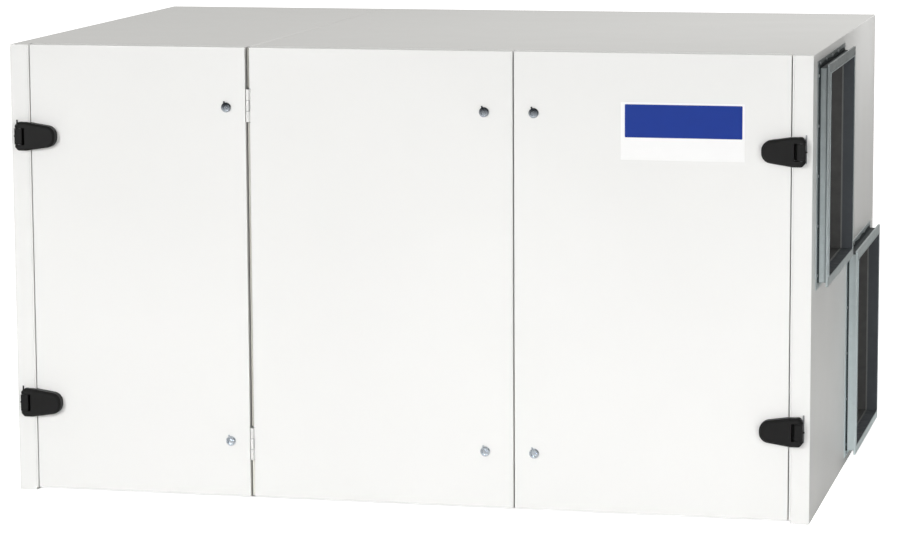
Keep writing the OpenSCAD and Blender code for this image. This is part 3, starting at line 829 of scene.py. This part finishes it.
class UNIT_OT_skins(bpy.types.Operator):
    """Round the folded edges of the doors and end panels, and press the roof's joint strip flat"""

    bl_idname = "unit.skins"
    bl_label = "Round Sheet Edges"

    def execute(self, context):
        finish = context.scene.unit_finish
        for body in ("left", "middle", "right"):
            node = NODES[body + "_door"]
            planes = [(1, RIGHT_DOOR_LOW.y)]
            self.dress(self.round_sheet(node, finish.edge_radius, planes), node, body + "_leaf")
        for side, outward in (("left", -1), ("right", 1)):
            node = NODES[side + "_side_panel"]
            planes = [(0, outward * RIGHT_PANEL_HIGH.x), (1, RIGHT_PANEL_LOW.y), (1, RIGHT_PANEL_HIGH.y)]
            self.dress(self.round_sheet(node, finish.edge_radius, planes), node, "casing")
        strip = NODES["roof_joint_strip"]
        self.dress(self.press_strip(strip, finish), strip, "casing")
        return {"FINISHED"}

    def round_sheet(self, node, radius, planes):
        """A copy of a sheet-metal node with rounded edges where it meets any of some planes"""
        piece = copy_node(node, node.name + "_skin")

        def folded(edge):
            sharp = edge.is_manifold and edge.calc_face_angle() > FOLD_ANGLE
            long = edge.calc_length() > FOLD_LENGTH
            return sharp and long and any(on_plane(edge, axis, place) for axis, place in planes)

        round_edges(piece, radius, 3, folded)
        weigh_normals(piece)
        return piece

    def press_strip(self, node, finish):
        """A copy of the roof's joint strip, pressed wide and almost flat on the roof"""
        strip = copy_node(node, node.name + "_skin")
        low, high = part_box(node.name)
        top = ROOF_HIGH.z + finish.strip_height
        widening = finish.strip_width / (high.x - low.x)
        bpy.ops.mesh.select_all(action="SELECT")
        bpy.ops.transform.resize(value=(widening, 1, 1), center_override=(low + high) / 2)
        select_parts(strip, "FACE", lambda face: face.normal.z > ALIGNED)
        bpy.ops.transform.translate(value=(0, 0, top - high.z))
        radius = finish.strip_height * finish.strip_rounding
        round_edges(strip, radius, 2, lambda edge: on_plane(edge, 2, top))
        weigh_normals(strip)
        return strip

    def dress(self, skin, node, body):
        """Puts a skin in the place of a node"""
        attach(skin, body)
        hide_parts(node.name)


class UNIT_OT_trims(bpy.types.Operator):
    """Add the edge strips in the gaps round the doors"""

    bl_idname = "unit.trims"
    bl_label = "Add Edge Strips"

    def execute(self, context):
        self.trim = context.scene.unit_trim
        front = RIGHT_DOOR_LOW.y + self.trim.set_back
        back = RIGHT_DOOR_LOW.y + self.trim.depth
        wall, edge, width = RIGHT_PANEL_LOW.x, MIDDLE_DOOR_HIGH.x, self.trim.end_width
        spans = {
            "left_end_strip": (-wall, -wall + width, "casing", "casing_coat"),
            "right_end_strip": (wall - width, wall, "casing", "casing_coat"),
            "middle_edge_strip": (edge, edge + self.trim.edge_width, "middle_leaf", "door_coat"),
        }
        for name, (left, right, body, coat) in spans.items():
            low, high = (left, front, RIGHT_DOOR_LOW.z), (right, back, RIGHT_DOOR_HIGH.z)
            self.add_strip(name, low, high, body, bpy.data.materials[coat])
        self.fill_joint(Vector(context.scene.unit_finish.joint))
        return {"FINISHED"}

    def fill_joint(self, colour):
        """The strip in the joint of the two modules, in stretches between the slim hinges, each with its
        own painted light
        """
        trim = self.trim
        right = MIDDLE_DOOR_LOW.x - trim.joint_clear
        left = right - trim.joint_width
        face = RIGHT_DOOR_LOW.y + trim.joint_set_back
        stretches = [
            (RIGHT_DOOR_LOW.z, LOWER_SLIM_LOW.z),
            (LOWER_SLIM_HIGH.z, UPPER_SLIM_LOW.z),
            (UPPER_SLIM_HIGH.z, RIGHT_DOOR_HIGH.z),
        ]
        for number, (bottom, top) in enumerate(stretches):
            name = "joint_strip_%d" % number
            # Painted light: this stretch's grey scaled by its own brightness
            tone = colour * trim.joint_painted_light[number]
            grey = moulded(name, tone, roughness=0.5, depth=0.02 * MM, variation=0.03)
            low, high = (left, face, bottom + trim.joint_gap), (right, POST_FACE, top - trim.joint_gap)
            self.add_strip(name, low, high, "casing", grey)

    def add_strip(self, name, low, high, body, material):
        """A thin strip with softened front edges"""
        piece = add_block(name, low, high)
        round_edges(piece, self.trim.softening, 2, lambda edge: on_plane(edge, 1, low[1]))
        weigh_normals(piece)
        put_material(piece, material)
        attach(piece, body)


class UNIT_OT_seams(bpy.types.Operator):
    """Add the seams and hems of the duct frames, and the dark strips of painted shade in their corners"""

    bl_idname = "unit.seams"
    bl_label = "Add Frame Seams"

    def execute(self, context):
        finish = context.scene.unit_finish
        self.seam = context.scene.unit_seam
        self.materials = {
            "seam": moulded("duct_seam", finish.seam, roughness=0.55, depth=0.02 * MM, variation=0.08),
            # Painted shade: dark strips at the web's root and on its top
            "frame_shade": moulded("frame_seal", finish.frame_shade, roughness=0.6, depth=0.1 * MM, specular=0.3),
            # Partly painted highlight: a lighter metal rim on the flange's rolled edge
            "hem": plated_metal("frame_hem", finish.hem, roughness=0.4, tone_scale=60.0),
            # Painted shadow of the hem on the web, fading towards the foot
            "edge": fading_hem_shadow(
                "edge_seal", finish.edge, finish.shadow_faded, UPPER_FRAME_LOW.z, UPPER_FRAME_HIGH.z),
        }
        for name in DUCT_FRAMES:
            self.add_seams(name.replace("duct_frame", "duct"), *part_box(name))
        return {"FINISHED"}

    def add_seams(self, name, low, high):
        """The rings and the strip of one frame"""
        seam = self.seam
        outward = 1 if low.x > 0 else -1
        base, face = (low.x, high.x) if outward > 0 else (high.x, low.x)
        start = base + outward * seam.sheet
        stop = face - outward * (seam.hem_depth + seam.hem_gap)
        centre = (low + high) / 2
        web = (high.z - low.z) / 2 - seam.lip
        around = web + seam.cover
        span = (base - outward * seam.reach, base + outward * seam.reach)
        self.add_ring(name + "_seam", "seam", span, centre, OPENING_HALF, seam.cover)
        # Painted shade: a dark ring at the web's root, next to the lip
        span = (start, start + outward * seam.root_width)
        self.add_ring(name + "_root_seal", "frame_shade", span, centre, around, seam.cover)
        # Painted shadow of the hem on the web, on the upper frames only
        if centre.z > UNIT_MIDDLE:
            span = (stop - outward * seam.edge_width, stop)
            self.add_ring(name + "_edge_seal", "edge", span, centre, around, seam.cover)
        # A real rim round the opening in lighter metal, which paints part of the highlight on the flange's
        # rolled edge
        span = (face, face + outward * seam.hem_rise)
        self.add_ring(name + "_hem", "hem", span, centre, OPENING_HALF + seam.hem_width, seam.hem_width)
        self.add_top_seal(name + "_top_seal", start, stop, centre, web)

    def add_top_seal(self, name, start, stop, centre, web):
        """The dark strip of painted shade on the web's top, pressed out in points on the lip"""
        seam = self.seam
        inward = 1 if stop > start else -1
        front, top = centre.y - web, centre.z + web
        strip = add_block(
            name, (min(start, stop), front, top), (max(start, stop), centre.y + web, top + seam.cover))
        self.cut((start + inward * seam.cover, 0, 0), (1, 0, 0))
        length = 2 * web / (len(seam.teeth) - 1)
        for number in range(1, len(seam.teeth) - 1):
            self.cut((0, front + number * length, 0), (0, 1, 0))

        def on_lip(face):
            return face.normal.z > ALIGNED and abs(face.calc_center_median().x - start) < seam.cover

        select_parts(strip, "FACE", on_lip)
        bpy.ops.mesh.extrude_region_move(TRANSFORM_OT_translate={"value": (0, 0, seam.cover)})
        raised = top + 1.5 * seam.cover
        for number, tooth in enumerate(seam.teeth):
            along = front + number * length
            select_parts(
                strip, "VERT", lambda spot: spot.co.z > raised and abs(spot.co.y - along) < MM)
            bpy.ops.transform.translate(value=(0, 0, tooth - 2 * seam.cover))
        round_edges(strip, seam.softening, 1, lambda edge: edge.calc_face_angle() > BEND_ANGLE)
        weigh_normals(strip)
        put_material(strip, self.materials["frame_shade"])
        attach(strip, "casing")

    def cut(self, place, direction):
        """Cuts the faces of the edited piece along a plane"""
        bpy.ops.mesh.select_all(action="SELECT")
        bpy.ops.mesh.bisect(plane_co=place, plane_no=direction)

    def add_ring(self, name, finish, span, centre, half, thickness):
        """A thin square ring between two planes, given by the half of its outer width"""
        low = (min(span), centre.y - half, centre.z - half)
        high = (max(span), centre.y + half, centre.z + half)
        piece = add_block(name, low, high)
        select_parts(piece, "FACE", lambda face: abs(face.normal.x) > ALIGNED)
        bpy.ops.mesh.delete(type="ONLY_FACE")
        bpy.ops.mesh.select_all(action="SELECT")
        bpy.ops.mesh.solidify(thickness=thickness)
        bpy.ops.mesh.select_all(action="SELECT")
        bpy.ops.mesh.normals_make_consistent(inside=False)
        bpy.ops.object.mode_set(mode="OBJECT")
        put_material(piece, self.materials[finish])
        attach(piece, "casing")


class UNIT_OT_label(bpy.types.Operator):
    """Fix the plain label plate to the right door"""

    bl_idname = "unit.label"
    bl_label = "Add Label Plate"

    def execute(self, context):
        label = context.scene.unit_label
        left = RIGHT_DOOR_LOW.x + label.inset
        right = left + label.width
        top = RIGHT_DOOR_HIGH.z - label.drop
        face = RIGHT_DOOR_LOW.y - label.thickness
        white = moulded("label_white", label.white, roughness=0.35, depth=0.01 * MM, variation=0.01)
        low, high = (left, face, top - label.height), (right, RIGHT_DOOR_LOW.y, top)
        self.add_plate("label_plate", low, high, label.corner, white)
        blue = moulded(
            "label_blue", label.blue, roughness=0.5, depth=0.01 * MM, variation=0.05, specular=0.2)
        top = top - label.field_top
        low = (left + label.field_left, face - label.field_thickness, top - label.field_height)
        high = (right - label.field_right, face, top)
        self.add_plate("label_field", low, high, label.corner, blue)
        return {"FINISHED"}

    def add_plate(self, name, low, high, corner, material):
        """A thin plate with rounded corners and a softened front edge"""
        piece = add_block(name, low, high)

        def across(edge):
            return abs((edge.verts[0].co - edge.verts[1].co).normalized().y) > ALIGNED

        round_edges(piece, corner, 4, across)
        round_edges(piece, (high[1] - low[1]) / 3, 2, lambda edge: on_plane(edge, 1, low[1]))
        weigh_normals(piece)
        put_material(piece, material)
        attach(piece, "right_leaf")


class UNIT_OT_stops(bpy.types.Operator):
    """Cap the stops on the outer side of the end hinges"""

    bl_idname = "unit.stops"
    bl_label = "Add Hinge Stops"

    def execute(self, context):
        pattern = self.make_cap(context.scene.unit_stop)
        for name in HINGE_BASES:
            low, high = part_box(name)
            side = -1 if low.x < 0 else 1
            place = Vector((low.x if side < 0 else high.x, PIN_ALONG, (low.z + high.z) / 2))
            cap = copy_piece(pattern, place, side)
            name_piece(name.replace("base", "stop"))
            put_material(cap, bpy.data.materials["hinge_plastic"])
            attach(cap, "casing")
        bpy.data.objects.remove(pattern)
        return {"FINISHED"}

    def make_cap(self, stop):
        """A cap at the origin that points to the right, with a rounded end"""
        cap = add_bar(stop.radius, -stop.seat, stop.reach)
        round_edges(cap, stop.radius * stop.rounding, 3, lambda edge: on_plane(edge, 0, stop.reach))
        weigh_normals(cap)
        return cap


class UNIT_OT_rivets(bpy.types.Operator):
    """Rivet the duct frames to the end panels"""

    bl_idname = "unit.rivets"
    bl_label = "Add Frame Rivets"

    def execute(self, context):
        rivet = context.scene.unit_rivet
        sheet = context.scene.unit_seam.sheet
        bright = moulded("rivet_bright", rivet.bright, roughness=0.4, depth=0.01 * MM, variation=0.05)
        dull = plated_metal("rivet_steel", rivet.dull, roughness=0.45, tone_scale=80.0)
        for name in DUCT_FRAMES:
            low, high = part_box(name)
            row = self.join_heads(rivet, self.find_spots(low, high, rivet, sheet), low.x)
            name_piece(name.replace("duct_frame", "frame_rivets"))
            put_material(row, bright if low.z > UNIT_MIDDLE else dull)
            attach(row, "casing")
        return {"FINISHED"}

    def find_spots(self, low, high, rivet, sheet):
        """The places of the rivets on the sheet of one frame's lip"""
        base = low.x + sheet if low.x > 0 else high.x - sheet
        centre = (low + high) / 2
        reach = (high.y - low.y) / 2 - rivet.inset
        steps = [step * rivet.pitch for step in range(-rivet.pairs, rivet.pairs + 1)]
        spots = [(along, side * reach) for along in steps for side in (-1, 1)]
        spots += [(side * reach, along) for along in steps for side in (-1, 1)]
        return [(base, centre.y + along, centre.z + rise) for along, rise in spots]

    def make_head(self, rivet):
        """A head at the origin that points to the right: a low dome with the pit of its broken stem"""
        head = add_bar(rivet.radius, 0, rivet.height)
        select_parts(head, "FACE", lambda face: face.normal.x > ALIGNED)
        bpy.ops.transform.resize(value=(1, rivet.crown, rivet.crown))
        bpy.ops.mesh.inset(thickness=rivet.radius * rivet.rim)
        sunk = (-rivet.height * rivet.pit, 0, 0)
        bpy.ops.mesh.extrude_region_move(TRANSFORM_OT_translate={"value": sunk})
        bpy.ops.object.mode_set(mode="OBJECT")
        return head

    def join_heads(self, rivet, spots, side):
        """Copies of one head at some places, joined in one mesh"""
        pattern = self.make_head(rivet)
        heads = [copy_piece(pattern, spot, side) for spot in spots]
        bpy.data.objects.remove(pattern)
        select_only(heads[0])
        for head in heads:
            head.select_set(True)
        bpy.ops.object.join()
        return heads[0]


class UNIT_PT_panel(bpy.types.Panel):
    """Sidebar panel of the air handling unit"""

    bl_label = "Air Handling Unit"
    bl_idname = "UNIT_PT_panel"
    bl_space_type = "VIEW_3D"
    bl_region_type = "UI"
    bl_category = "Air Unit"

    def draw(self, context):
        for operator in OPERATORS:
            self.layout.operator(operator.bl_idname)
        for name in SETTINGS:
            box = self.layout.box()
            group = getattr(context.scene, name)
            for label in group.bl_rna.properties.keys():
                if label not in {"rna_type", "name"}:
                    box.prop(group, label)


OPERATORS = [
    UNIT_OT_stage, UNIT_OT_finishes, UNIT_OT_skins, UNIT_OT_trims, UNIT_OT_seams, UNIT_OT_label,
    UNIT_OT_stops, UNIT_OT_rivets]
SETTINGS = {
    "unit_camera": CameraSettings,
    "unit_studio": StudioSettings,
    "unit_finish": FinishSettings,
    "unit_label": LabelSettings,
    "unit_trim": TrimSettings,
    "unit_seam": SeamSettings,
    "unit_stop": StopSettings,
    "unit_rivet": RivetSettings,
}
CLASSES = [*SETTINGS.values(), *OPERATORS, UNIT_PT_panel]


def register():
    """Registers the classes and hangs the settings on the scene"""
    for item in CLASSES:
        bpy.utils.register_class(item)
    for name, group in SETTINGS.items():
        setattr(bpy.types.Scene, name, bpy.props.PointerProperty(type=group))


def unregister():
    """Takes the settings and classes away again"""
    for name in SETTINGS:
        delattr(bpy.types.Scene, name)
    for item in reversed(CLASSES):
        bpy.utils.unregister_class(item)


def main():
    """Builds the scene"""
    register()
    bpy.ops.unit.stage()
    bpy.ops.unit.finishes()
    bpy.ops.unit.skins()
    bpy.ops.unit.trims()
    bpy.ops.unit.seams()
    bpy.ops.unit.label()
    bpy.ops.unit.stops()
    bpy.ops.unit.rivets()


if __name__ == "__main__":
    main()
